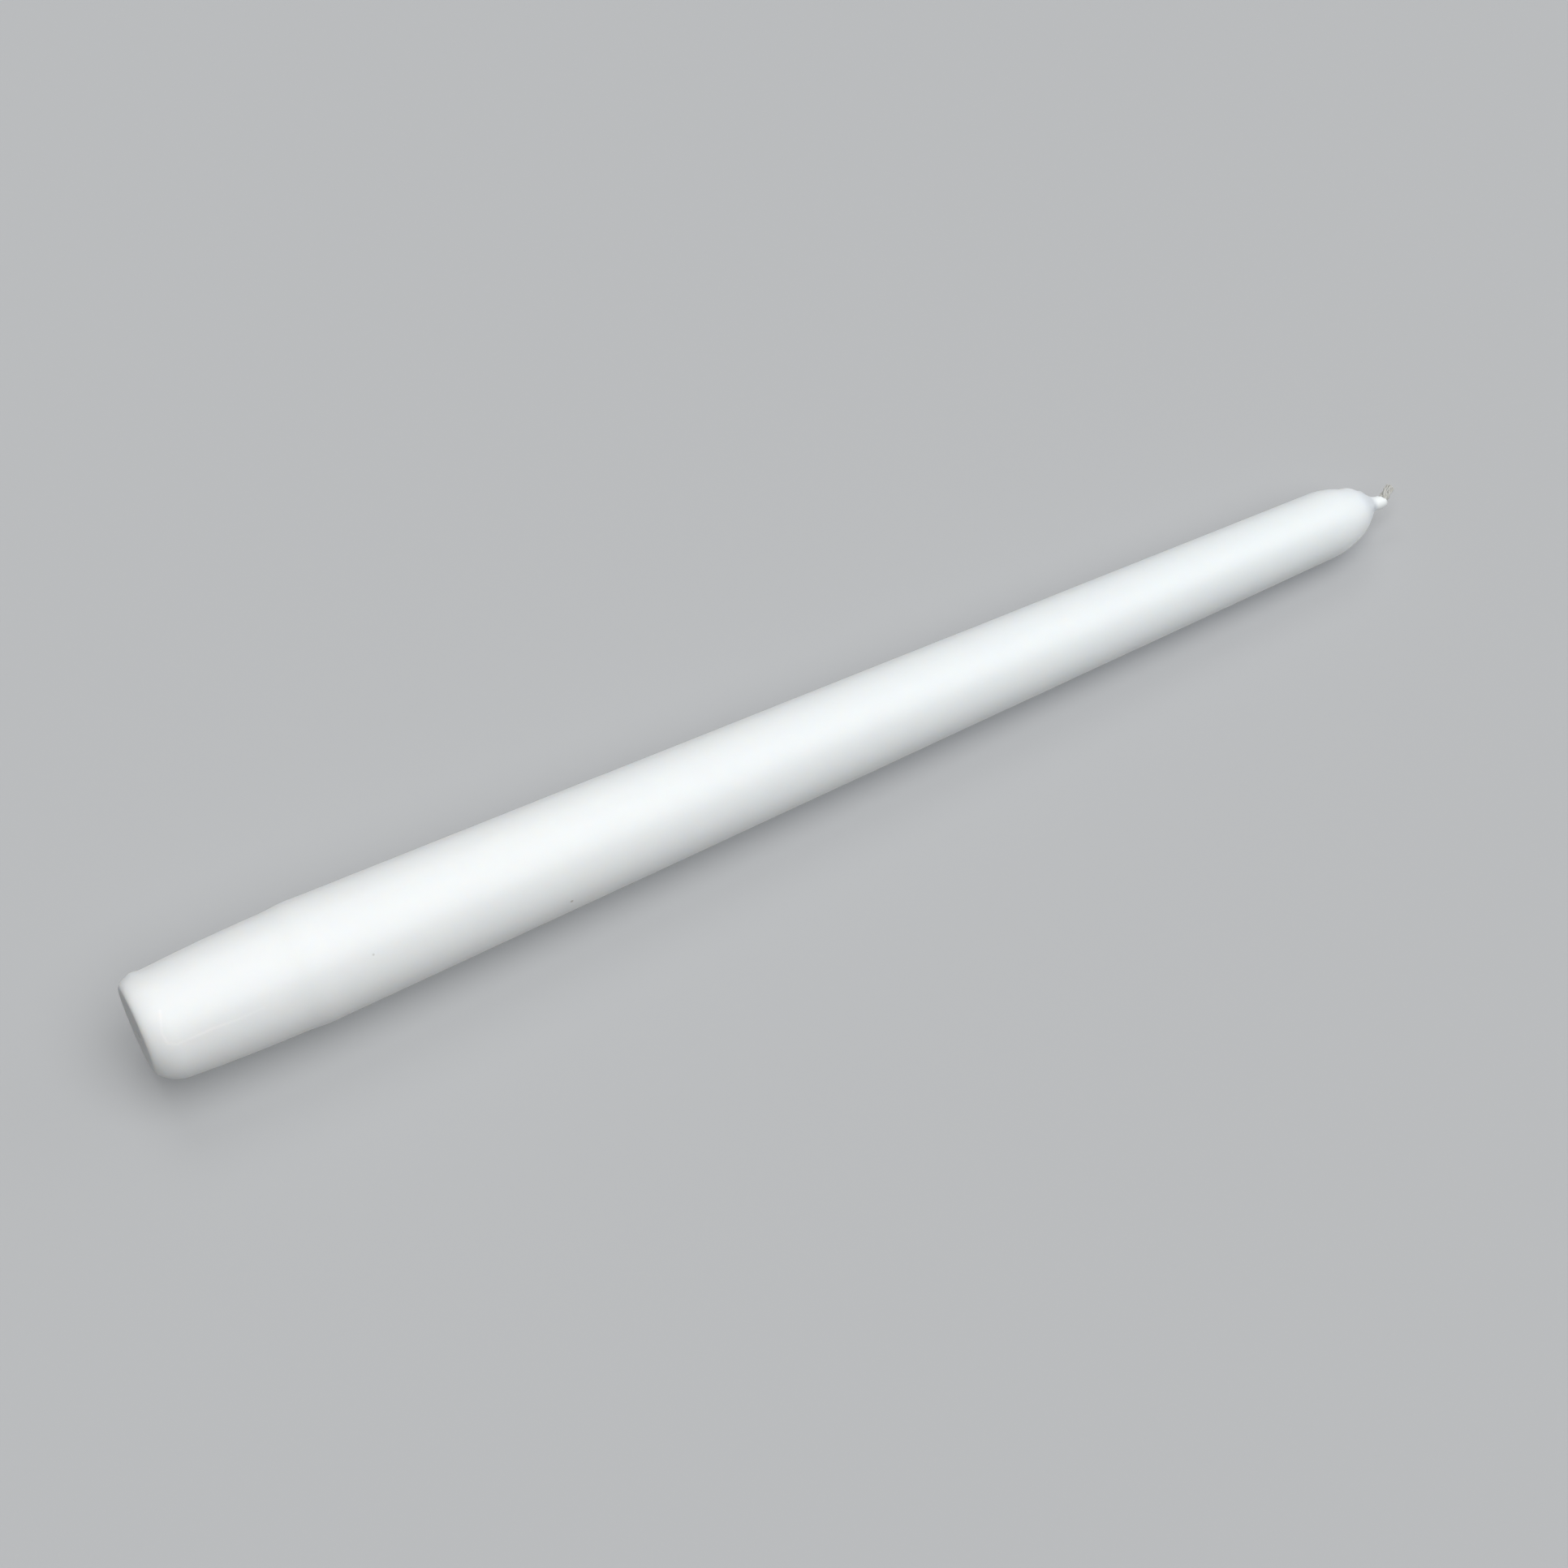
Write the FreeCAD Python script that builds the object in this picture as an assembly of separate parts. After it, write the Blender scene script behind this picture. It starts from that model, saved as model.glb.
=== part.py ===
import FreeCAD, Part
import math
import os

# Taper candle: one wax body cast round one braided cotton wick.
# Everything is in millimetres. +Z runs along the candle from its flat foot to
# its wick, the origin is the centre of the foot, and the wick leans towards -X.
# Lengths follow each other up the candle, so each can change by itself.

# Foot: the flat end, the height of its rounded edge, and how far the flat sits
# off the axis, which leaves a tighter edge on the -X side than on the other
FOOT_FACE_RADIUS = 7.4
FOOT_ROUND_HEIGHT = 5.0
FOOT_OFFSET = 0.9
FOOT_RINGS = 7

# Plug: the slightly conical end that goes down into a candle holder
PLUG_LENGTH = 26.0
PLUG_FOOT_RADIUS = 9.57
PLUG_TOP_RADIUS = 10.79
PLUG_BELLY = 0.25

# Knee: the thickest ring, a soft step up from the plug and a softer one down
KNEE_RISE_LENGTH = 4.5
KNEE_RADIUS = 11.07
KNEE_FALL_LENGTH = 4.0

# Taper: the long straight body
TAPER_START_RADIUS = 10.95
TAPER_LENGTH = 201.0
TAPER_END_RADIUS = 6.46

# Shoulder and dome: two rounds that close the top
SHOULDER_LENGTH = 2.6
DOME_BASE_RADIUS = 6.17
DOME_LENGTH = 8.1
DOME_TOP_RADIUS = 1.95

# Collar: the wax that runs up from the dome to the wick's bend
COLLAR_LENGTH = 2.3
COLLAR_RINGS = 5

# Wick: a round braided cord, straight in the wax and bent where it comes out,
# a little off the candle's axis on the side away from its lean
WICK_OFFSET = 0.3
WICK_RADIUS = 1.0
WICK_BEND_RADIUS = 1.5
WICK_LEAN_DEGREES = 33.0
WICK_TAIL_LENGTH = 3.2
WICK_END_ROUND = 0.3

# Sheath: the film of wax left round the bend, and the edge where it thins out
SHEATH_THICKNESS = 0.22
SHEATH_TAIL_LENGTH = 0.1
SHEATH_EDGE_LENGTH = 0.5
SHEATH_EDGE_THICKNESS = 0.08

# Drips: beads of wax that set on the side of the dome that the wick leans to.
# Each has its height above the dome's base, its angle round the axis from -X,
# its radius, and how far it stands out of the dome
DRIPS = (
    (4.8, 0.0, 1.8, 0.38),
    (6.5, 8.0, 1.4, 0.30),
    (4.4, -38.0, 1.2, 0.20),
)

TAPER_START = PLUG_LENGTH + KNEE_RISE_LENGTH + KNEE_FALL_LENGTH
SHOULDER_START = TAPER_START + TAPER_LENGTH
DOME_START = SHOULDER_START + SHOULDER_LENGTH
COLLAR_START = DOME_START + DOME_LENGTH
BEND_START = COLLAR_START + COLLAR_LENGTH
SHEATH_RADIUS = WICK_RADIUS + SHEATH_THICKNESS

ORIGIN = FreeCAD.Vector(0, 0, 0)
UP = FreeCAD.Vector(0, 0, 1)
LEAN = FreeCAD.Rotation(FreeCAD.Vector(0, -1, 0), WICK_LEAN_DEGREES)
HALF_LEAN = FreeCAD.Rotation(FreeCAD.Vector(0, -1, 0), WICK_LEAN_DEGREES / 2)


def point(radius, height):
    """A point of the turned profile, in the XZ plane."""
    return FreeCAD.Vector(radius, 0, height)


def tangent_arc(start, tangent, end):
    """The arc that leaves start along a tangent and ends at end, and its tangent there."""
    chord = end - start
    way = FreeCAD.Vector(chord).normalize()
    bisector = (tangent + way).normalize()
    middle = start + bisector * (chord.Length / 2 / bisector.dot(way))
    end_tangent = way * (2 * tangent.dot(way)) - tangent
    return Part.Arc(start, middle, end).toShape(), end_tangent


def plug_radius(height):
    """Radius of the plug's side: a cone with a belly."""
    share = height / PLUG_LENGTH
    cone = PLUG_FOOT_RADIUS + (PLUG_TOP_RADIUS - PLUG_FOOT_RADIUS) * share
    return cone + PLUG_BELLY * 4 * share * (1 - share)


def ring(offset, height, radius):
    """A level circle whose centre sits off the axis along X."""
    return Part.Wire(Part.Circle(point(offset, height), UP, radius).toShape())


def foot():
    """The rounded foot, lofted through rings that grow and come back on the axis."""
    rounding = plug_radius(0) - FOOT_FACE_RADIUS
    rings = []
    for step in range(FOOT_RINGS):
        turn = math.radians(90.0 * step / (FOOT_RINGS - 1))
        height = FOOT_ROUND_HEIGHT * (1 - math.cos(turn))
        radius = plug_radius(height) - rounding * (1 - math.sin(turn))
        rings.append(ring(-FOOT_OFFSET * math.cos(turn) ** 1.5, height, radius))
    return Part.makeLoft(rings, True, False)


def collar():
    """The wax that narrows from the dome's top and moves over to the wick."""
    rings = []
    for step in range(COLLAR_RINGS):
        share = step / (COLLAR_RINGS - 1)
        radius = SHEATH_RADIUS + (DOME_TOP_RADIUS - SHEATH_RADIUS) * (1 - share) ** 3
        offset = WICK_OFFSET * share * share * (3 - 2 * share)
        rings.append(ring(offset, COLLAR_START + COLLAR_LENGTH * share, radius))
    return Part.makeLoft(rings, True, False)


def plug_and_knee(taper_tangent):
    """The plug's side and the knee above it, up to where the taper starts."""
    middle_height = (FOOT_ROUND_HEIGHT + PLUG_LENGTH) / 2
    plug = Part.Arc(
        point(plug_radius(FOOT_ROUND_HEIGHT), FOOT_ROUND_HEIGHT),
        point(plug_radius(middle_height), middle_height),
        point(PLUG_TOP_RADIUS, PLUG_LENGTH),
    )
    knee = Part.BSplineCurve()
    knee.interpolate(
        Points=[
            point(PLUG_TOP_RADIUS, PLUG_LENGTH),
            point(KNEE_RADIUS, PLUG_LENGTH + KNEE_RISE_LENGTH),
            point(TAPER_START_RADIUS, TAPER_START),
        ],
        InitialTangent=plug.tangent(plug.LastParameter)[0],
        FinalTangent=taper_tangent,
    )
    return [plug.toShape(), knee.toShape()]


def taper_way():
    """The direction of the taper's side, going up."""
    return (point(TAPER_END_RADIUS, SHOULDER_START) - point(TAPER_START_RADIUS, TAPER_START)).normalize()


def shoulder_and_dome():
    """The two arcs that close the top, each leaving the one below it smoothly."""
    dome_base = point(DOME_BASE_RADIUS, DOME_START)
    shoulder, tangent = tangent_arc(point(TAPER_END_RADIUS, SHOULDER_START), taper_way(), dome_base)
    dome, tangent = tangent_arc(dome_base, tangent, point(DOME_TOP_RADIUS, COLLAR_START))
    return [shoulder, dome]


def turned_body():
    """Plug, knee, taper, shoulder and dome, as one profile turned about the axis."""
    side = plug_and_knee(taper_way())
    side.append(Part.makeLine(point(TAPER_START_RADIUS, TAPER_START), point(TAPER_END_RADIUS, SHOULDER_START)))
    side += shoulder_and_dome()
    bottom = Part.makeLine(point(0, FOOT_ROUND_HEIGHT), point(plug_radius(FOOT_ROUND_HEIGHT), FOOT_ROUND_HEIGHT))
    top = Part.makeLine(point(DOME_TOP_RADIUS, COLLAR_START), point(0, COLLAR_START))
    axis = Part.makeLine(point(0, COLLAR_START), point(0, FOOT_ROUND_HEIGHT))
    return Part.Face(Part.Wire([bottom] + side + [top, axis])).revolve(ORIGIN, UP, 360)


def on_bend(rotation):
    """The point of the wick's bend that a rotation about the bend's centre leads to."""
    centre = point(WICK_OFFSET - WICK_BEND_RADIUS, BEND_START)
    return centre + rotation.multVec(point(WICK_BEND_RADIUS, 0))


def on_tail(length):
    """The point of the wick's straight tail at a length after the bend."""
    return on_bend(LEAN) + LEAN.multVec(UP) * length


def bent_rod(radius, bottom, tail_length):
    """A round rod along the wick's line: straight up, round the bend and out along the tail."""
    bend_start = point(WICK_OFFSET, BEND_START)
    line = Part.Wire([
        Part.makeLine(point(WICK_OFFSET, bottom), bend_start),
        Part.Arc(bend_start, on_bend(HALF_LEAN), on_tail(0)).toShape(),
        Part.makeLine(on_tail(0), on_tail(tail_length)),
    ])
    return line.makePipeShell([ring(WICK_OFFSET, bottom, radius)], True, False)


def sheath():
    """The film of wax round the bend, thinning out to an edge on the tail."""
    film = bent_rod(SHEATH_RADIUS, COLLAR_START, SHEATH_TAIL_LENGTH)
    edge_radius = WICK_RADIUS + SHEATH_EDGE_THICKNESS
    edge_start = on_tail(SHEATH_TAIL_LENGTH)
    edge = Part.makeCone(SHEATH_RADIUS, edge_radius, SHEATH_EDGE_LENGTH, edge_start, LEAN.multVec(UP))
    return film.fuse(edge)


def drip(rise, degrees, radius, stands_out):
    """One bead: a ball sunk in the dome until only a low cap of it stands out."""
    height = DOME_START + rise
    level = Part.makeLine(point(0, height), point(DOME_BASE_RADIUS, height))
    dome = shoulder_and_dome()[1]
    dome_radius = dome.distToShape(level)[1][0][0].x
    reach = dome_radius + stands_out - radius
    turn = math.radians(180.0 + degrees)
    return Part.makeSphere(radius, FreeCAD.Vector(reach * math.cos(turn), reach * math.sin(turn), height))


def wax_body():
    """All the wax, with the channel that the wick fills."""
    beads = [drip(*bead) for bead in DRIPS]
    wax = foot().fuse([turned_body(), collar(), sheath()] + beads)
    return wax.cut(bent_rod(WICK_RADIUS, 0, WICK_TAIL_LENGTH)).removeSplitter()


def wick():
    """The whole cord, from the foot's face to its cut end, whose edge is worn round."""
    rod = bent_rod(WICK_RADIUS, 0, WICK_TAIL_LENGTH)
    tip = on_tail(WICK_TAIL_LENGTH)
    cut_edges = [edge for edge in rod.Edges if edge.CenterOfMass.distanceToPoint(tip) < WICK_RADIUS / 2]
    return rod.makeFillet(WICK_END_ROUND, cut_edges)


os.makedirs("parts", exist_ok=True)
for name, shape in (("wax_body", wax_body()), ("wick", wick())):
    print(name, "valid", shape.isValid(), "solids", len(shape.Solids), "volume %.1f mm3" % shape.Volume)
    shape.exportStep("parts/%s.step" % name)
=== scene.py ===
# %% [markdown]
# A taper candle, dressed for its portrait
#
# The candle is one cast body of white wax round one braided cotton wick. The packed
# part already holds both as plain solids, at their real size. This notebook builds a
# finer wax body and a real braid around the same sizes, gives them their finish, and
# sets the camera and the light of the photograph.
#
# The candle stands upright in the part's frame: its foot is on the floor at z = 0 and
# its wick is at the top, leaning towards -X. The photograph shows the candle lying
# down, so the camera is rolled over, and the surface it lies on becomes a wall.

# %% Load the frame and read its sizes
import math

import bpy
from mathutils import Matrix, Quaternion, Vector


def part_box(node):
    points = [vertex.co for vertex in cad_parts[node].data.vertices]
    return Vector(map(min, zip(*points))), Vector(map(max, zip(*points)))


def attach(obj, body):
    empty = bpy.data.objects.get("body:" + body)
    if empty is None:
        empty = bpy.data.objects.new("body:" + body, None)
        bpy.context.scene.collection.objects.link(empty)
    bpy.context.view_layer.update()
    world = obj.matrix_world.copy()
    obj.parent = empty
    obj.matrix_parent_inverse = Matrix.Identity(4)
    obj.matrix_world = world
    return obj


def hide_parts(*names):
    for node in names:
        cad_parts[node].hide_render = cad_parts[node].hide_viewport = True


MM = 0.001

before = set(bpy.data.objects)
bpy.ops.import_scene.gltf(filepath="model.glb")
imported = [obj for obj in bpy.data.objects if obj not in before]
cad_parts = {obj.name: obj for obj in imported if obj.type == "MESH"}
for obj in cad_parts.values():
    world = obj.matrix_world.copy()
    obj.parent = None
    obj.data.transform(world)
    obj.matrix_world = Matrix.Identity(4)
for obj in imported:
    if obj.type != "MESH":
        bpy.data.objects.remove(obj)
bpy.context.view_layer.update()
wax_low, wax_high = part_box("wax_body")
wick_low, wick_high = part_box("wick")
print("wax body from", wax_low, "to", wax_high)
print("wick from", wick_low, "to", wick_high)

# %% [markdown]
# The camera
#
# The photograph is square, and its lines fit a view of 27 degrees from about 58 cm.
# A camera in Blender looks along its own -Z. `to_track_quat` turns it towards the aim
# point with its top upwards, and a further turn about its own Z axis rolls it, until
# the standing candle lies across the picture as it does in the photograph.

# %% Place the camera
CAMERA_PLACE = Vector((0.0, -0.5553, -0.0388))
CAMERA_AIM = Vector((0.0044, 0.0, 0.1201))
CAMERA_ROLL = math.radians(66.6)
CAMERA_VIEW = math.radians(27.0)

camera_data = bpy.data.cameras.new("photo_camera")
camera_data.angle = CAMERA_VIEW
camera_data.clip_start = 10 * MM
camera = bpy.data.objects.new("photo_camera", camera_data)
camera.location = CAMERA_PLACE
camera.rotation_mode = "QUATERNION"
towards = (CAMERA_AIM - CAMERA_PLACE).to_track_quat("-Z", "Y")
camera.rotation_quaternion = towards @ Quaternion((0, 0, 1), CAMERA_ROLL)
bpy.context.scene.collection.objects.link(camera)
bpy.context.scene.camera = camera
print("camera", round((CAMERA_AIM - CAMERA_PLACE).length, 4), "m from its aim point")

# %% [markdown]
# Light
#
# In the photograph the wax is brightest along a broad band a little above the middle,
# and falls off softly to a grey lower edge. A very large lamp near the camera gives the
# band. A smaller one on the upper side lights the upper edge and drops the shadow on
# the lower side. Two weak lamps, from behind and from above, shape the sides that the
# photograph doesn't show. Sun lamps with a wide angle are used, because they light the
# candle and the whole floor evenly, as large soft boxes do.
#
# A sun lamp of strength pi shows a colour as it is written, so each strength is a
# share of pi, and the shares on one face add up to about 1.

# %% Set the lamps and the world
# Each lamp: azimuth and elevation in degrees, share of full light, and width in degrees.
# Azimuth 0 is the camera's side (-Y), and -90 is -X, which is up in the photograph.
LAMPS = {
    "lamp_front": (-13.0, 3.0, 0.67, 70.0),
    "lamp_upper_side": (-66.0, 5.0, 0.10, 26.0),
    "lamp_behind": (180.0, 35.0, 0.36, 50.0),
    "lamp_overhead": (-20.0, 75.0, 0.07, 50.0),
}
AMBIENT_BELOW = 0.22
AMBIENT_ABOVE = 0.32
BACKDROP_SHADE = (0.49, 0.50, 0.51, 1.0)


def sun_lamp(name, azimuth, elevation, share, width):
    """A wide sun lamp that shines on the origin from an azimuth and elevation."""
    a, e = math.radians(azimuth), math.radians(elevation)
    back = Vector((math.sin(a) * math.cos(e), -math.cos(a) * math.cos(e), math.sin(e)))
    data = bpy.data.lights.new(name, "SUN")
    data.energy = share * math.pi
    data.angle = math.radians(width)
    lamp = bpy.data.objects.new(name, data)
    lamp.rotation_mode = "QUATERNION"
    lamp.rotation_quaternion = (-back).to_track_quat("-Z", "Y")
    bpy.context.scene.collection.objects.link(lamp)


for lamp_name, facts in LAMPS.items():
    sun_lamp(lamp_name, *facts)
print(len(LAMPS), "lamps, and a soft light of", AMBIENT_BELOW, "to", AMBIENT_ABOVE, "from all round")

# %% [markdown]
# Helpers for nodes
#
# Geometry, materials and the world are all made of nodes. Short helpers keep the trees
# readable. `add_node` makes a node and fills its inputs, with values or with links to
# other nodes. The others each make one kind of node and give back the socket of its
# result, so that they can be written inside one another as in a formula.
#
# An input is named where its name is its own, and numbered where several share one. The
# Mix node is such a case: 0 is its share, 2 and 3 are its numbers, 6 and 7 its colours.


# %% Node helpers
def add_node(tree, kind, inputs=None, **settings):
    """Adds a node. Settings are its own options; inputs are values, or sockets to link."""
    node = tree.nodes.new(kind)
    for key, value in settings.items():
        setattr(node, key, value)
    for key, value in (inputs or {}).items():
        if isinstance(value, bpy.types.NodeSocket):
            tree.links.new(value, node.inputs[key])
        else:
            node.inputs[key].default_value = value
    return node


def maths(tree, operation, *values):
    """The result of a Math node."""
    node = add_node(tree, "ShaderNodeMath", dict(enumerate(values)), operation=operation)
    return node.outputs[0]


def vector_maths(tree, operation, *values):
    """The result of a Vector Math node: a vector, or a number for distances and dot products."""
    node = add_node(tree, "ShaderNodeVectorMath", dict(enumerate(values)), operation=operation)
    return node.outputs["Value" if operation in ("DISTANCE", "DOT_PRODUCT") else "Vector"]


def scaled(tree, vector, factor):
    """A vector times a number."""
    inputs = {"Vector": vector, "Scale": factor}
    return add_node(tree, "ShaderNodeVectorMath", inputs, operation="SCALE").outputs["Vector"]


def parts_of(tree, vector):
    """The X, Y and Z of a vector, as three sockets."""
    return add_node(tree, "ShaderNodeSeparateXYZ", {0: vector}).outputs


def remapped(tree, value, low, high, to_low, to_high):
    """A value carried smoothly from one range to another, and held at its ends."""
    inputs = {"Value": value, "From Min": low, "From Max": high, "To Min": to_low, "To Max": to_high}
    node = add_node(tree, "ShaderNodeMapRange", inputs, interpolation_type="SMOOTHSTEP")
    return node.outputs["Result"]


def seen_directly(tree):
    """1 for rays from the camera, a mirror or glass, and 0 for the rays that carry light."""
    path = add_node(tree, "ShaderNodeLightPath").outputs
    mirrored = maths(tree, "MAXIMUM", path["Is Glossy Ray"], path["Is Transmission Ray"])
    return maths(tree, "MAXIMUM", path["Is Camera Ray"], mirrored)


# %% [markdown]
# The world
#
# The world does two jobs. For light it is a soft white from all round, a little weaker
# from below, as in a room whose floor gives back only a part of the light. For the
# camera it is the pale backdrop. Light Path tells the two kinds of ray apart. In a
# world, the Generated coordinate is the direction of the ray, and its Z is the height.

# %% Build the world
# The Z of a ray from which, and up to which, its light changes from weak to strong
HORIZON_BLEND = (-0.5, 0.5)

world = bpy.data.worlds.new("studio")
bpy.context.scene.world = world
world.use_nodes = True
sky = world.node_tree
sky.nodes.clear()
sky_way = add_node(sky, "ShaderNodeTexCoord").outputs["Generated"]
sky_height = parts_of(sky, sky_way)["Z"]
light_side = add_node(sky, "ShaderNodeBackground", {
    "Color": (1, 1, 1, 1),
    "Strength": remapped(sky, sky_height, *HORIZON_BLEND, AMBIENT_BELOW, AMBIENT_ABOVE),
})
seen_side = add_node(sky, "ShaderNodeBackground", {"Color": BACKDROP_SHADE, "Strength": 1.0})
world_mix = add_node(sky, "ShaderNodeMixShader", {
    0: seen_directly(sky),
    1: light_side.outputs[0],
    2: seen_side.outputs[0],
})
add_node(sky, "ShaderNodeOutputWorld", {"Surface": world_mix.outputs[0]})
bpy.context.scene.view_settings.view_transform = "Standard"
print("the backdrop's shade is", BACKDROP_SHADE[:3])

# %% [markdown]
# Grain: one effect that both materials use
#
# Wax and cotton both vary a little from place to place. A shader node group holds that
# effect once: fine and coarse noise, mixed by a weight. Each material places the group
# with its own sizes. The group gives out only a value that changes over the surface,
# and the shader itself stays in the material.


# %% Build the grain group
COARSE_DETAIL = 3.0
FINE_DETAIL = 5.0
# Nearly all of the grain's values lie between these two
GRAIN_RANGE = (0.3, 0.7)


def grain_group():
    """A group that mixes coarse and fine noise into one value around 0.5."""
    tree = bpy.data.node_groups.new("grain", "ShaderNodeTree")
    tree.interface.new_socket("Vector", in_out="INPUT", socket_type="NodeSocketVector")
    for label in ("Coarse Scale", "Fine Scale", "Fine Share"):
        tree.interface.new_socket(label, in_out="INPUT", socket_type="NodeSocketFloat")
    tree.interface.new_socket("Grain", in_out="OUTPUT", socket_type="NodeSocketFloat")
    given = add_node(tree, "NodeGroupInput").outputs
    coarse = add_node(tree, "ShaderNodeTexNoise", {
        "Vector": given["Vector"], "Scale": given["Coarse Scale"], "Detail": COARSE_DETAIL})
    fine = add_node(tree, "ShaderNodeTexNoise", {
        "Vector": given["Vector"], "Scale": given["Fine Scale"], "Detail": FINE_DETAIL})
    mixed = add_node(tree, "ShaderNodeMix", {
        0: given["Fine Share"], 2: coarse.outputs[0], 3: fine.outputs[0]}, data_type="FLOAT")
    add_node(tree, "NodeGroupOutput", {"Grain": mixed.outputs[0]})
    return tree


grain = grain_group()
print("the grain group has", len(grain.nodes), "nodes")


def grain_value(tree, vector, coarse, fine, fine_share):
    """The grain group, placed in a material with its own sizes, in waves per metre."""
    inputs = {"Vector": vector, "Coarse Scale": coarse, "Fine Scale": fine, "Fine Share": fine_share}
    return add_node(tree, "ShaderNodeGroup", inputs, node_tree=grain).outputs["Grain"]


# %% [markdown]
# Wax
#
# Paraffin wax is white because light goes a few millimetres in, scatters and comes out
# again. Principled BSDF has Subsurface for that, and it softens the shaded edge. It
# fades out on the film round the wick: there the light would run through to the wick's
# hole and be lost, while on a real candle the soaked cotton sends it back. At the neck,
# where the dome's wax grows thin round the wick, its colour is a shade darker: partly the
# darker cotton through the thin wax, and partly painted shade. On top lies a satin skin,
# from being drawn from the dip.
#
# The photograph shows the foot a little warmer than the tip, two tiny dark specks in
# the side, and near the foot a faint ridge where one dip of wax ended. The ridge is a
# bump, and the paler line along it is a painted highlight. All of these are read from
# Object coordinates, so they stay at their places on the candle.

# %% Colours and marks of the wax
WAX_FOOT_COLOUR = (0.890, 0.920, 0.935, 1.0)
WAX_TIP_COLOUR = (0.855, 0.905, 0.965, 1.0)
FILM_COLOUR = (0.91, 0.95, 0.955, 1.0)
FILM_FADE = (246.4 * MM, 247.8 * MM)
CLOUD_COLOUR = (0.80, 0.81, 0.80, 1.0)
CLOUD_SHARE = 0.10
# The neck is painted darker: partly the soaked cotton through thin wax, partly painted shade
THIN_NECK_AND_SHADE_COLOUR = (0.53, 0.575, 0.595, 1.0)
THIN_NECK_AND_SHADE_SHARE = 0.45
NECK_RISE = (242.8 * MM, 245.8 * MM)
NECK_FALL = (246.2 * MM, 248.0 * MM)

# Each speck: its centre, its radius and how dark it is
SPECK_COLOUR = (0.42, 0.40, 0.36, 1.0)
SPECK_CORE = 0.3
SPECKS = (
    (Vector((3.26, -10.33, 39.9)) * MM, 0.30 * MM, 0.40),
    (Vector((8.40, -5.48, 75.5)) * MM, 0.42 * MM, 0.65),
)

# The line that the edge of one dip left, from point to point
DIP_LINE = (
    Vector((-2.21, -9.58, 4.1)) * MM,
    Vector((-0.45, -9.59, 3.5)) * MM,
    Vector((1.33, -9.45, 2.9)) * MM,
    Vector((3.26, -9.01, 3.2)) * MM,
    Vector((3.94, -9.04, 4.5)) * MM,
    Vector((3.99, -9.27, 7.6)) * MM,
    Vector((3.91, -9.51, 10.8)) * MM,
    Vector((4.21, -9.61, 15.3)) * MM,
    Vector((4.12, -9.82, 19.9)) * MM,
)
# The dip line is painted paler than the wax: a painted highlight along its ridge
DIP_LINE_HIGHLIGHT_COLOUR = (0.95, 0.98, 0.99, 1.0)
DIP_LINE_WIDTH = 0.4 * MM
DIP_LINE_FADE = (8 * MM, 20 * MM)
DIP_LINE_SHARES = (0.75, 0.25)

# Grain: coarse and fine waves per metre, and the share of the fine ones
WAX_CLOUDS = (70.0, 420.0, 0.35)
WAX_SKIN = (260.0, 2600.0, 0.5)
WAX_ROUGHNESS = (0.30, 0.40)
WAX_BUMP = 0.12
WAX_BUMP_DEPTH = 0.05 * MM
WAX_IOR = 1.44
WAX_DEPTH = 2.0 * MM
# Red light spreads a little farther through pale wax and cotton than blue
LIGHT_SPREAD = (1.0, 0.9, 0.8)
print(len(SPECKS), "specks, and a dip line through", len(DIP_LINE), "points")


# %% Make the wax material
def new_material(name):
    """An empty node material and its tree."""
    material = bpy.data.materials.new(name)
    material.use_nodes = True
    material.node_tree.nodes.clear()
    return material, material.node_tree


def mixed_colour(tree, share, first, second):
    """Two colours mixed by a share: 0 is all the first, 1 all the second."""
    inputs = {0: share, 6: first, 7: second}
    return add_node(tree, "ShaderNodeMix", inputs, data_type="RGBA").outputs[2]


def distance_to_run(tree, place, start, end):
    """How far a place is from a straight run between two points."""
    along = end - start
    offset = vector_maths(tree, "SUBTRACT", place, start)
    share = vector_maths(tree, "DOT_PRODUCT", offset, along / along.length_squared)
    share = maths(tree, "MAXIMUM", 0.0, maths(tree, "MINIMUM", share, 1.0))
    return vector_maths(tree, "DISTANCE", offset, scaled(tree, along, share))


def dip_ridge_and_highlight_mask(tree, place, height):
    """How strongly the dip line's ridge and its painted highlight show: most near the foot, and less
    up the side.
    """
    nearest = distance_to_run(tree, place, DIP_LINE[0], DIP_LINE[1])
    for start, end in zip(DIP_LINE[1:], DIP_LINE[2:]):
        nearest = maths(tree, "MINIMUM", nearest, distance_to_run(tree, place, start, end))
    on_line = remapped(tree, nearest, 0.0, DIP_LINE_WIDTH, 1.0, 0.0)
    strength = remapped(tree, height, *DIP_LINE_FADE, *DIP_LINE_SHARES)
    return maths(tree, "MULTIPLY", on_line, strength)


def thin_neck_and_shade_mask(tree, height):
    """How much the neck darkens: a soft band at one height, partly thin wax over the wick and partly
    painted shade.
    """
    rise = remapped(tree, height, *NECK_RISE, 0.0, THIN_NECK_AND_SHADE_SHARE)
    fall = remapped(tree, height, *NECK_FALL, 1.0, 0.0)
    return maths(tree, "MULTIPLY", rise, fall)


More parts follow.
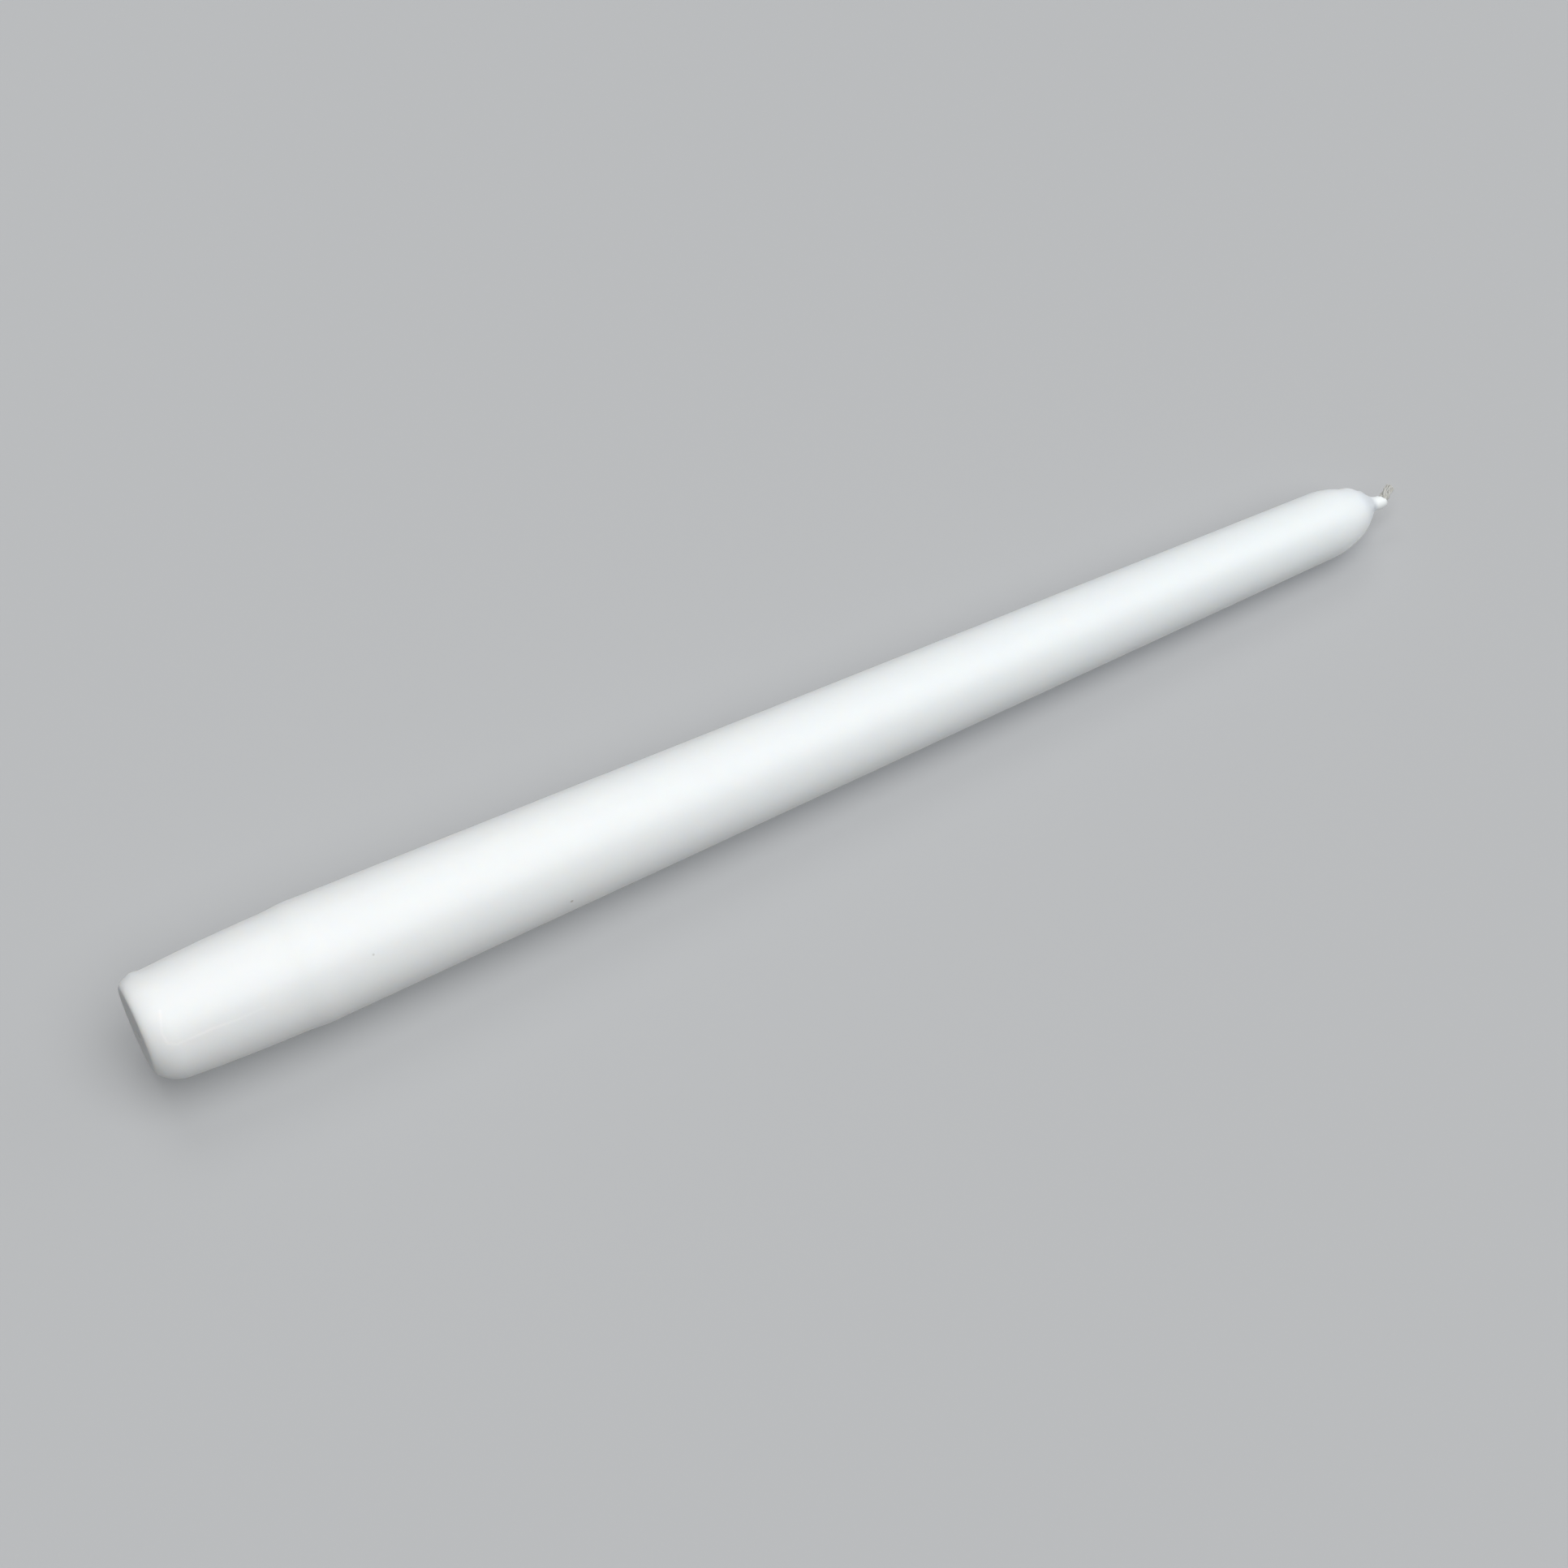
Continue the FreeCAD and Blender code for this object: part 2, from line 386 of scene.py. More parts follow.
def wax_colour(tree, place, height, dip_ridge_and_highlight, body_share):
    """The wax's tint from foot to tip, with its clouds, dip line with its painted highlight, specks,
    neck with its painted shade, and film.
    """
    up_share = remapped(tree, height, 0.0, wax_high.z, 0.0, 1.0)
    colour = mixed_colour(tree, up_share, WAX_FOOT_COLOUR, WAX_TIP_COLOUR)
    cloud = grain_value(tree, place, *WAX_CLOUDS)
    cloud = remapped(tree, cloud, *GRAIN_RANGE, CLOUD_SHARE, 0.0)
    colour = mixed_colour(tree, cloud, colour, CLOUD_COLOUR)
    # Painted highlight along the dip line's ridge
    colour = mixed_colour(tree, dip_ridge_and_highlight, colour, DIP_LINE_HIGHLIGHT_COLOUR)
    for centre, radius, darkness in SPECKS:
        apart = vector_maths(tree, "DISTANCE", place, centre)
        speck = remapped(tree, apart, SPECK_CORE * radius, radius, darkness, 0.0)
        colour = mixed_colour(tree, speck, colour, SPECK_COLOUR)
    # Painted shade at the neck, with the cotton's darker tone through the thin wax
    colour = mixed_colour(tree, thin_neck_and_shade_mask(tree, height), colour, THIN_NECK_AND_SHADE_COLOUR)
    return mixed_colour(tree, body_share, FILM_COLOUR, colour)


def wax_material():
    """White satin wax with its tint, marks and fine unevenness."""
    material, tree = new_material("white_wax")
    place = add_node(tree, "ShaderNodeTexCoord").outputs["Object"]
    height = parts_of(tree, place)["Z"]
    body_share = remapped(tree, height, *FILM_FADE, 1.0, 0.0)
    dip_ridge_and_highlight = dip_ridge_and_highlight_mask(tree, place, height)
    skin = grain_value(tree, place, *WAX_SKIN)
    relief = maths(tree, "ADD", skin, dip_ridge_and_highlight)
    bump = add_node(tree, "ShaderNodeBump", {
        "Height": relief, "Strength": WAX_BUMP, "Distance": WAX_BUMP_DEPTH})
    wax = add_node(tree, "ShaderNodeBsdfPrincipled", {
        "Base Color": wax_colour(tree, place, height, dip_ridge_and_highlight, body_share),
        "Roughness": remapped(tree, skin, *GRAIN_RANGE, *WAX_ROUGHNESS),
        "IOR": WAX_IOR,
        "Subsurface Weight": body_share,
        "Subsurface Radius": LIGHT_SPREAD,
        "Subsurface Scale": WAX_DEPTH,
        "Normal": bump.outputs[0],
    })
    add_node(tree, "ShaderNodeOutputMaterial", {"Surface": wax.outputs[0]})
    return material


white_wax = wax_material()
print("wax: light goes in about", WAX_DEPTH / MM, "mm")

# %% [markdown]
# Cotton
#
# The wick is unbleached cotton, soaked with a little wax. Each strand of the braid is a
# twisted yarn, so its tiny fibres run slantwise round it. The braid's mesh carries two
# attributes for this: how far along the strand a point is, and which way round it.
# Wax has crept up the cotton a little past the film, and makes its first millimetre
# whiter.

# %% Make the cotton material
COTTON_LIGHT = (0.70, 0.70, 0.66, 1.0)
COTTON_DARK = (0.39, 0.39, 0.365, 1.0)
SOAKED_COLOUR = (0.86, 0.88, 0.87, 1.0)
SOAKED_FADE = (249.3 * MM, 250.7 * MM)
SOAKED_SHARE = 0.7
YARN_TWIST = 0.9 * MM
YARN_FIBRES = 5
FIBRE_SHARE = 0.25
FIBRE_RANGE = (0.1, 0.9)
COTTON_FUZZ = (1500.0, 9000.0, 0.6)
COTTON_ROUGHNESS = (0.6, 0.85)
COTTON_BUMP = 0.6
COTTON_BUMP_DEPTH = 0.04 * MM
COTTON_SUBSURFACE = 0.3
COTTON_DEPTH = 0.3 * MM
COTTON_SHEEN = 0.25


def cotton_material():
    """Waxed, unbleached cotton yarn with slanting fibres, painted darker where its relief is low."""
    material, tree = new_material("waxed_cotton")
    place = add_node(tree, "ShaderNodeTexCoord").outputs["Object"]
    along = add_node(tree, "ShaderNodeAttribute", attribute_name="along").outputs["Fac"]
    around = add_node(tree, "ShaderNodeAttribute", attribute_name="around").outputs["Vector"]
    across, upwards = parts_of(tree, around)[:2]
    turn = maths(tree, "ARCTAN2", upwards, across)
    slant = maths(tree, "MULTIPLY", along, math.tau / YARN_TWIST)
    slanted = maths(tree, "ADD", turn, slant)
    fibres = maths(tree, "SINE", maths(tree, "MULTIPLY", slanted, YARN_FIBRES))
    fuzz = grain_value(tree, place, *COTTON_FUZZ)
    relief = maths(tree, "ADD", maths(tree, "MULTIPLY", fibres, FIBRE_SHARE), fuzz)
    # Low relief, between the fibres, is painted darker: partly painted shade in the grooves, partly
    # tone that differs at random
    high = remapped(tree, relief, *FIBRE_RANGE, 0.0, 1.0)
    colour = mixed_colour(tree, high, COTTON_DARK, COTTON_LIGHT)
    soaked = remapped(tree, along, *SOAKED_FADE, SOAKED_SHARE, 0.0)
    colour = mixed_colour(tree, soaked, colour, SOAKED_COLOUR)
    bump = add_node(tree, "ShaderNodeBump", {
        "Height": relief, "Strength": COTTON_BUMP, "Distance": COTTON_BUMP_DEPTH})
    cotton = add_node(tree, "ShaderNodeBsdfPrincipled", {
        "Base Color": colour,
        "Roughness": remapped(tree, fuzz, *GRAIN_RANGE, *COTTON_ROUGHNESS),
        "Subsurface Weight": COTTON_SUBSURFACE,
        "Subsurface Radius": LIGHT_SPREAD,
        "Subsurface Scale": COTTON_DEPTH,
        "Sheen Weight": COTTON_SHEEN,
        "Normal": bump.outputs[0],
    })
    add_node(tree, "ShaderNodeOutputMaterial", {"Surface": cotton.outputs[0]})
    return material


waxed_cotton = cotton_material()
print("cotton: the yarn turns once in", YARN_TWIST / MM, "mm")

# %% [markdown]
# The wick's line
#
# Both pieces follow the wick: it runs straight up through the wax, bends where it comes
# out and ends in a short straight tail. A Bezier curve with four points draws that. The
# handles of the bend are as long as those of a true arc, and the others point straight
# along the line. The line sits 0.3 mm off the candle's axis, as the real wick does.

# %% Draw the wick's line
WICK_RADIUS = 1.0 * MM
WICK_OFFSET = 0.3 * MM
BEND_START = 248.5 * MM
BEND_RADIUS = 1.5 * MM
LEAN = math.radians(33.0)
TAIL_LENGTH = 3.2 * MM
BEND_END = BEND_START + BEND_RADIUS * LEAN
LINE_STEPS = 24


def wick_line():
    """The centre line of the wick as a Bezier curve object."""
    data = bpy.data.curves.new("wick_line", "CURVE")
    data.dimensions = "3D"
    data.resolution_u = LINE_STEPS
    up, tail = Vector((0, 0, 1)), Vector((-math.sin(LEAN), 0, math.cos(LEAN)))
    bottom = Vector((WICK_OFFSET, 0, 0))
    bend_start = bottom + up * BEND_START
    centre = bend_start - Vector((BEND_RADIUS, 0, 0))
    bend_end = centre + BEND_RADIUS * Vector((math.cos(LEAN), 0, math.sin(LEAN)))
    end = bend_end + tail * TAIL_LENGTH
    reach = BEND_RADIUS * 4 / 3 * math.tan(LEAN / 4)
    third, short = BEND_START / 3, TAIL_LENGTH / 3
    # Each point: its place, the direction of the line there, and its two handles' lengths
    rows = (
        (bottom, up, third, third),
        (bend_start, up, third, reach),
        (bend_end, tail, reach, short),
        (end, tail, short, short),
    )
    spline = data.splines.new("BEZIER")
    spline.bezier_points.add(len(rows) - 1)
    for dot, (place, way, back, ahead) in zip(spline.bezier_points, rows):
        dot.co = place
        dot.handle_left_type = dot.handle_right_type = "FREE"
        dot.handle_left = place - way * back
        dot.handle_right = place + way * ahead
    line = bpy.data.objects.new("wick_line", data)
    bpy.context.scene.collection.objects.link(line)
    return line


line = wick_line()
line_length = line.data.splines[0].calc_length()
print("the wick's line is", round(line_length / MM, 2), "mm long")

# %% [markdown]
# The outline of the wax
#
# A candle is a stack of rings. Each ring has three numbers: its radius, how far its
# centre sits off the wick's line, and how far up that line it is. The rings are worked
# out from the sizes of each stretch, from the wick's hole in the foot, out over the flat
# foot, up the side to the film of wax round the bend, and back down the inside of the
# hole. Rings lie close together where the outline turns, and far apart on the taper.

# %% Sizes of the wax
FOOT_FACE_RADIUS = 7.4 * MM
FOOT_ROUND_HEIGHT = 5.0 * MM
FOOT_OFFSET = 0.9 * MM
PLUG_LENGTH = 26.0 * MM
PLUG_FOOT_RADIUS = 9.57 * MM
PLUG_TOP_RADIUS = 10.79 * MM
PLUG_BELLY = 0.25 * MM
KNEE_HEIGHT = 30.5 * MM
KNEE_RADIUS = 11.07 * MM
TAPER_START = 34.5 * MM
TAPER_START_RADIUS = 10.95 * MM
SHOULDER_START = 235.5 * MM
TAPER_END_RADIUS = 6.46 * MM
DOME_START = 238.1 * MM
DOME_BASE_RADIUS = 6.17 * MM
COLLAR_START = 246.2 * MM
DOME_TOP_RADIUS = 1.95 * MM
FILM_RADIUS = 1.22 * MM
FILM_TAIL = -0.35 * MM
FILM_EDGE_LENGTH = 0.4 * MM
FILM_EDGE_THICKNESS = 0.07 * MM
HOLE_EDGE = 0.08 * MM

# How many rings each stretch gets: more where the outline turns
RINGS = {
    "foot face": 5, "foot round": 18, "plug": 16, "knee rise": 8, "knee fall": 8,
    "taper": 64, "shoulder": 10, "dome": 64, "collar": 14, "bend": 12, "film edge": 8,
    "hole bend": 14, "hole straight": 16,
}
print("the wax is", round(2 * KNEE_RADIUS / MM, 2), "mm thick at its knee")


# %% Work out the rings
def shares(count):
    """Even steps from just after 0 up to 1."""
    return [step / count for step in range(1, count + 1)]


def eased(share):
    """A share that starts and ends softly."""
    return share * share * (3 - 2 * share)


def plug_radius(height):
    """The plug's side: a cone with a belly."""
    share = height / PLUG_LENGTH
    cone = PLUG_FOOT_RADIUS + (PLUG_TOP_RADIUS - PLUG_FOOT_RADIUS) * share
    return cone + PLUG_BELLY * 4 * share * (1 - share)


def foot_rings():
    """The flat foot and its rounded edge, which is tighter on the side of -X."""
    rounding = plug_radius(0) - FOOT_FACE_RADIUS
    face_shift = -WICK_OFFSET - FOOT_OFFSET
    rings = [(WICK_RADIUS, 0.0, 0.0), (WICK_RADIUS + HOLE_EDGE, 0.0, 0.0)]
    for share in shares(RINGS["foot face"]):
        radius = WICK_RADIUS + (FOOT_FACE_RADIUS - WICK_RADIUS) * share
        rings.append((radius, face_shift * share, 0.0))
    for share in shares(RINGS["foot round"]):
        turn = share * math.pi / 2
        height = FOOT_ROUND_HEIGHT * (1 - math.cos(turn))
        radius = plug_radius(height) - rounding * (1 - math.sin(turn))
        shift = -WICK_OFFSET - FOOT_OFFSET * max(math.cos(turn), 0.0) ** 1.5
        rings.append((radius, shift, height))
    return rings


def curve_between(start, end, start_slope, end_slope, count):
    """Rings on the axis, from start to end, that leave and arrive at given slopes."""
    (r0, z0), (r1, z1) = start, end
    rings = []
    for share in shares(count):
        rise = (r1 - r0) * eased(share)
        bend = share * (1 - share) * ((1 - share) * start_slope - share * end_slope) * (z1 - z0)
        rings.append((r0 + rise + bend, -WICK_OFFSET, z0 + (z1 - z0) * share))
    return rings


def arc_rings(start, slope_angle, end, count):
    """Rings along an arc, and the arc's angle at its end. Angles lean inwards from straight up."""
    (r0, z0), (r1, z1) = start, end
    chord = math.hypot(r0 - r1, z1 - z0)
    turn = math.atan2(r0 - r1, z1 - z0) - slope_angle
    rings = []
    for share in shares(count):
        reach = chord * math.sin(turn * share) / math.sin(turn)
        angle = slope_angle + turn * share
        rings.append((r0 - reach * math.sin(angle), -WICK_OFFSET, z0 + reach * math.cos(angle)))
    return rings, slope_angle + 2 * turn


def body_rings():
    """Plug, knee, taper, shoulder and dome."""
    rings = []
    for share in shares(RINGS["plug"]):
        height = FOOT_ROUND_HEIGHT + (PLUG_LENGTH - FOOT_ROUND_HEIGHT) * share
        rings.append((plug_radius(height), -WICK_OFFSET, height))
    plug_slope = (PLUG_TOP_RADIUS - PLUG_FOOT_RADIUS - 4 * PLUG_BELLY) / PLUG_LENGTH
    taper_slope = (TAPER_END_RADIUS - TAPER_START_RADIUS) / (SHOULDER_START - TAPER_START)
    plug_top = (PLUG_TOP_RADIUS, PLUG_LENGTH)
    knee = (KNEE_RADIUS, KNEE_HEIGHT)
    taper_start = (TAPER_START_RADIUS, TAPER_START)
    taper_end = (TAPER_END_RADIUS, SHOULDER_START)
    rings += curve_between(plug_top, knee, plug_slope, 0.0, RINGS["knee rise"])
    rings += curve_between(knee, taper_start, 0.0, taper_slope, RINGS["knee fall"])
    rings += curve_between(taper_start, taper_end, taper_slope, taper_slope, RINGS["taper"])
    dome_base = (DOME_BASE_RADIUS, DOME_START)
    dome_top = (DOME_TOP_RADIUS, COLLAR_START)
    shoulder, angle = arc_rings(taper_end, -math.atan(taper_slope), dome_base, RINGS["shoulder"])
    return rings + shoulder + arc_rings(dome_base, angle, dome_top, RINGS["dome"])[0]


def film_rings():
    """The collar, the film of wax round the bend and its thin edge on the tail."""
    rings = []
    for share in shares(RINGS["collar"]):
        radius = FILM_RADIUS + (DOME_TOP_RADIUS - FILM_RADIUS) * (1 - share) ** 3
        height = COLLAR_START + (BEND_START - COLLAR_START) * share
        rings.append((radius, -WICK_OFFSET * (1 - eased(share)), height))
    for share in shares(RINGS["bend"]):
        rings.append((FILM_RADIUS, 0.0, BEND_START + (BEND_END + FILM_TAIL - BEND_START) * share))
    edge_radius = WICK_RADIUS + FILM_EDGE_THICKNESS
    for share in shares(RINGS["film edge"]):
        radius = FILM_RADIUS + (edge_radius - FILM_RADIUS) * eased(share)
        rings.append((radius, 0.0, BEND_END + FILM_TAIL + FILM_EDGE_LENGTH * share))
    return rings


def channel_rings():
    """The inside of the wick's hole, from the film's edge back down to the foot."""
    top = BEND_END + FILM_TAIL + FILM_EDGE_LENGTH
    heights = [top]
    heights += [top + (BEND_START - top) * share for share in shares(RINGS["hole bend"])]
    heights += [BEND_START * (1 - share) for share in shares(RINGS["hole straight"])]
    heights.insert(-1, HOLE_EDGE)
    return [(WICK_RADIUS, 0.0, height) for height in heights]


outline = foot_rings() + body_rings() + film_rings() + channel_rings()
print(len(outline), "rings from the foot, up the side and back down the wick's hole")

# %% [markdown]
# Drips and beads
#
# Wax that ran back while the candle hung to cool set as low beads: on the side of the
# dome that the wick leans to, a low swelling on its far side, and one bead on the rim of
# the foot. Each bead is a soft bump that lifts the wax most at its middle and fades out
# to nothing at its reach.

# %% Sizes of the beads
# Each bead: its height, its angle round from -X in degrees, its reach, how many times
# that reach it has along the candle, and how far it stands out.
BEADS = {
    "dome_drip": (243.5 * MM, 0.0, 2.4 * MM, 1.1, 0.37 * MM),
    "neck_drip": (245.3 * MM, 8.0, 3.3 * MM, 2.3, 0.40 * MM),
    "neck_drip_end": (245.6 * MM, 8.0, 1.0 * MM, 1.1, 0.30 * MM),
    "side_drip": (242.5 * MM, -38.0, 1.5 * MM, 1.4, 0.22 * MM),
    "far_swell": (243.4 * MM, 180.0, 4.0 * MM, 1.0, 0.20 * MM),
    "foot_rim": (2.7 * MM, 0.0, 5.0 * MM, 0.32, 0.27 * MM),
}


def radius_at(height):
    """The radius of the outline at a height, between its rings."""
    side = [ring for ring in outline if ring[0] > FILM_RADIUS and ring[2] > 0]
    for below, above in zip(side, side[1:]):
        if below[2] <= height <= above[2]:
            share = (height - below[2]) / (above[2] - below[2])
            return below[0] + (above[0] - below[0]) * share
    return side[-1][0]


def bead_centre(height, degrees):
    """The place on the wax's side at a height and an angle round from -X."""
    angle = math.radians(180 + degrees)
    radius = radius_at(height)
    return Vector((radius * math.cos(angle), radius * math.sin(angle), height))


highest_bead = max(facts[-1] for facts in BEADS.values())
print(len(BEADS), "beads, and the highest stands", round(highest_bead / MM, 2), "mm out")


# %% [markdown]
# Turning the outline into wax
#
# Geometry Nodes can do what a lathe does. The outline is a mesh of points, one for each
# ring. The tree lays out a flat grid with a row for each ring and a column for each step
# round. Every point of the grid looks up its ring, finds the ring's centre on the wick's
# line, and moves out to the ring's radius. Because the line bends, the same rule makes
# the straight body and the bent film. Soft noise and the beads then move the points out
# or in by hundredths of a millimetre, as on wax that cooled by itself.


# %% Helpers for shape trees
def new_shape_tree(name, sizes):
    """A Geometry Nodes tree that takes a geometry and named sizes, and its input sockets."""
    tree = bpy.data.node_groups.new(name, "GeometryNodeTree")
    tree.interface.new_socket("Geometry", in_out="INPUT", socket_type="NodeSocketGeometry")
    for label, kind in sizes.items():
        tree.interface.new_socket(label, in_out="INPUT", socket_type=kind)
    tree.interface.new_socket("Geometry", in_out="OUTPUT", socket_type="NodeSocketGeometry")
    return tree, add_node(tree, "NodeGroupInput").outputs


def finish_shape_tree(tree, geometry, material):
    """Ends a tree: smooth faces, real geometry and its material."""
    smooth = add_node(tree, "GeometryNodeSetShadeSmooth", {"Geometry": geometry})
    real = add_node(tree, "GeometryNodeRealizeInstances", {"Geometry": smooth.outputs[0]})
    coated = add_node(tree, "GeometryNodeSetMaterial", {
        "Geometry": real.outputs[0], "Material": material})
    add_node(tree, "NodeGroupOutput", {"Geometry": coated.outputs[0]})


def side_ways(tree, tangent):
    """The two directions across the wick's line: in the plane of the bend, and along Y."""
    across = add_node(tree, "ShaderNodeCombineXYZ", {"Y": 1.0}).outputs[0]
    return vector_maths(tree, "CROSS_PRODUCT", across, tangent), across


def polar(tree, ways, radius, angle):
    """The step out from the wick's line by a radius at an angle round it."""
    inward = scaled(tree, ways[0], maths(tree, "MULTIPLY", radius, maths(tree, "COSINE", angle)))
    sideways = scaled(tree, ways[1], maths(tree, "MULTIPLY", radius, maths(tree, "SINE", angle)))
    return vector_maths(tree, "ADD", inward, sideways)


# %% Build the wax tree
# The waves are longer along the candle than round it
WAVE_STRETCH = Vector((1, 1, 0.4))
# The level of the noise at which the wax keeps its plain radius: most waves go in, not out
WAVE_LEVEL = 0.8
# How far out from the wick's hole the waves and the beads begin, and where they are whole
WAVE_FADE = (0.2 * MM, 3.0 * MM)
BEAD_FADE = (0.0, 0.15 * MM)
# The size of the noise that moves the film's edge: about one high and one low side
EDGE_LOBES = 0.9
# Points closer than this are the same point, such as the two ends of a row
WELD_DISTANCE = 0.001 * MM


def bead_height(tree, place, height, degrees, size, stretch, stands_out):
    """How far one bead lifts a place on the wax."""
    squeeze = Vector((1, 1, 1 / stretch))
    centre = bead_centre(height, degrees) * squeeze
    apart = vector_maths(tree, "DISTANCE", vector_maths(tree, "MULTIPLY", place, squeeze), centre)
    return remapped(tree, apart, 0.0, size, stands_out, 0.0)


def edge_wander(tree, turn, height, amount):
    """How far the film's edge creeps up or down the wick, different all round."""
    round_place = add_node(tree, "ShaderNodeCombineXYZ", {
        "X": maths(tree, "COSINE", turn), "Y": maths(tree, "SINE", turn)}).outputs[0]
    noise = add_node(tree, "ShaderNodeTexNoise", {
        "Vector": round_place, "Scale": EDGE_LOBES, "Detail": 0.0}).outputs[0]
    wander = maths(tree, "MULTIPLY", maths(tree, "SUBTRACT", noise, 0.5), amount)
    near_edge = remapped(tree, height, BEND_START, BEND_END + FILM_TAIL, 0.0, 1.0)
    return maths(tree, "MULTIPLY", near_edge, wander)


def ring_of_point(tree, given, rings):
    """Each grid point's ring, as its radius, shift and height, and the point's angle round."""
    place = add_node(tree, "GeometryNodeInputPosition").outputs[0]
    spot = parts_of(tree, place)
    turn = maths(tree, "MULTIPLY", maths(tree, "ADD", spot["X"], 0.5), math.tau)
    last = maths(tree, "SUBTRACT", rings, 1.0)
    row = maths(tree, "MULTIPLY", maths(tree, "ADD", spot["Y"], 0.5), last)
    ring = add_node(tree, "GeometryNodeSampleIndex", {
        "Geometry": given["Geometry"],
        "Value": place,
        "Index": maths(tree, "ROUND", row),
    }, data_type="FLOAT_VECTOR", domain="POINT").outputs[0]
    return parts_of(tree, ring), turn


def centre_on_line(tree, given, shift, height):
    """A ring's centre by the wick's line, and the two directions across the line there."""
    drawn = add_node(tree, "GeometryNodeObjectInfo", {"Object": given["Wick Line"]})
    sample = add_node(tree, "GeometryNodeSampleCurve", {
        "Curves": drawn.outputs["Geometry"], "Length": height}, mode="LENGTH").outputs
    aside = add_node(tree, "ShaderNodeCombineXYZ", {"X": shift}).outputs[0]
    return vector_maths(tree, "ADD", sample["Position"], aside), side_ways(tree, sample["Tangent"])


def wax_lift(tree, given, place, radius):
    """How far waves and beads move a place on the wax. The wick's hole stays as it is."""
    wave = add_node(tree, "ShaderNodeTexNoise", {
        "Vector": vector_maths(tree, "MULTIPLY", place, WAVE_STRETCH),
        "Scale": maths(tree, "DIVIDE", 1.0, given["Wave Length"]),
        "Detail": 1.0,
    }).outputs[0]
    swell = maths(tree, "MULTIPLY", maths(tree, "SUBTRACT", wave, WAVE_LEVEL), given["Unevenness"])
    wax_here = maths(tree, "SUBTRACT", radius, given["Hole Radius"])
    lift = maths(tree, "MULTIPLY", swell, remapped(tree, wax_here, *WAVE_FADE, 0.0, 1.0))
    outside = remapped(tree, wax_here, *BEAD_FADE, 0.0, 1.0)
    for bead in BEADS.values():
        raised = maths(tree, "MULTIPLY", bead_height(tree, place, *bead), outside)
        lift = maths(tree, "ADD", lift, raised)
    return lift


def wax_tree():
    """The tree that turns the outline's rings into the wax body."""
    tree, given = new_shape_tree("turned_wax", {
        "Wick Line": "NodeSocketObject",
        "Steps Round": "NodeSocketInt",
        "Hole Radius": "NodeSocketFloat",
        "Unevenness": "NodeSocketFloat",
        "Wave Length": "NodeSocketFloat",
        "Edge Wander": "NodeSocketFloat",
        "Material": "NodeSocketMaterial",
    })
    counted = add_node(tree, "GeometryNodeAttributeDomainSize", {"Geometry": given["Geometry"]})
    rings = counted.outputs["Point Count"]
    columns = maths(tree, "ADD", given["Steps Round"], 1.0)
    grid = add_node(tree, "GeometryNodeMeshGrid", {"Vertices X": columns, "Vertices Y": rings})
    (radius, shift, height), turn = ring_of_point(tree, given, rings)
    height = maths(tree, "ADD", height, edge_wander(tree, turn, height, given["Edge Wander"]))
    centre, ways = centre_on_line(tree, given, shift, height)
    plain = vector_maths(tree, "ADD", centre, polar(tree, ways, radius, turn))
    lifted = maths(tree, "ADD", radius, wax_lift(tree, given, plain, radius))
    uneven = vector_maths(tree, "ADD", centre, polar(tree, ways, lifted, turn))
    moved = add_node(tree, "GeometryNodeSetPosition", {
        "Geometry": grid.outputs["Mesh"], "Position": uneven})
    closed = add_node(tree, "GeometryNodeMergeByDistance", {
        "Geometry": moved.outputs[0], "Distance": WELD_DISTANCE})
    finish_shape_tree(tree, closed.outputs[0], given["Material"])
    return tree


# %% [markdown]
# Running a tree
#
# A tree is a recipe, and a modifier runs it. `make_piece` hangs the tree on a start mesh
# or curve, fills in the named sizes by their sockets' identifiers, and keeps the result
# as a plain mesh. The object with the modifier is thrown away.


# %% Run a tree and keep its mesh
def make_piece(name, start, tree, sizes):
    """Runs a shape tree on a start mesh or curve, and gives the result as a plain mesh."""
    maker = bpy.data.objects.new("maker_of_" + name, start)
    bpy.context.scene.collection.objects.link(maker)
    recipe = maker.modifiers.new("shape", "NODES")
    recipe.node_group = tree
    for item in tree.interface.items_tree:
        if item.in_out == "INPUT" and item.name in sizes:
            recipe[item.identifier] = sizes[item.name]
    ready = maker.evaluated_get(bpy.context.evaluated_depsgraph_get())
    mesh = bpy.data.meshes.new_from_object(ready)
    bpy.data.objects.remove(maker)
    mesh.name = name
    piece = bpy.data.objects.new(name, mesh)
    bpy.context.scene.collection.objects.link(piece)
    mesh.calc_loop_triangles()
    print(name, "has", len(mesh.loop_triangles), "triangles")
    return piece


rings_mesh = bpy.data.meshes.new("wax_rings")
rings_mesh.from_pydata(outline, [], [])
cast_wax = make_piece("cast_wax", rings_mesh, wax_tree(), {
    "Wick Line": line,
    "Steps Round": 240,
    "Hole Radius": WICK_RADIUS,
    "Unevenness": 0.12 * MM,
    "Wave Length": 16 * MM,
    "Edge Wander": 0.8 * MM,
    "Material": white_wax,
})

# %% [markdown]
# The braid
#
# A candle wick is a round braid. Half of its strands wind one way and half the other,
# and each goes over one strand and under the next, like dancers round a maypole. Along
# the line a strand turns steadily while its distance from the centre swings out and in
# four times a turn. The other set does the same the other way round and half a swing
# apart, so the two never collide. A straight core yarn fills the middle.
#
# The tree copies the wick's line once for each strand, moves each copy by this rule, and
# sweeps a small circle along it.

# %% Sizes of the braid
STRANDS = 8
STRAND_RADIUS = 0.27 * MM
STRAND_SIDES = 6
BRAID_RADIUS = 0.56 * MM
BRAID_SWING = 0.16 * MM
BRAID_PITCH = 3.3 * MM
CORE_RADIUS = 0.56 * MM
CORE_SIDES = 8

# Points along each strand; a power over 1 sets them closer together towards the tip
WICK_POINTS = 1500
POINTS_TO_TIP = 1.3

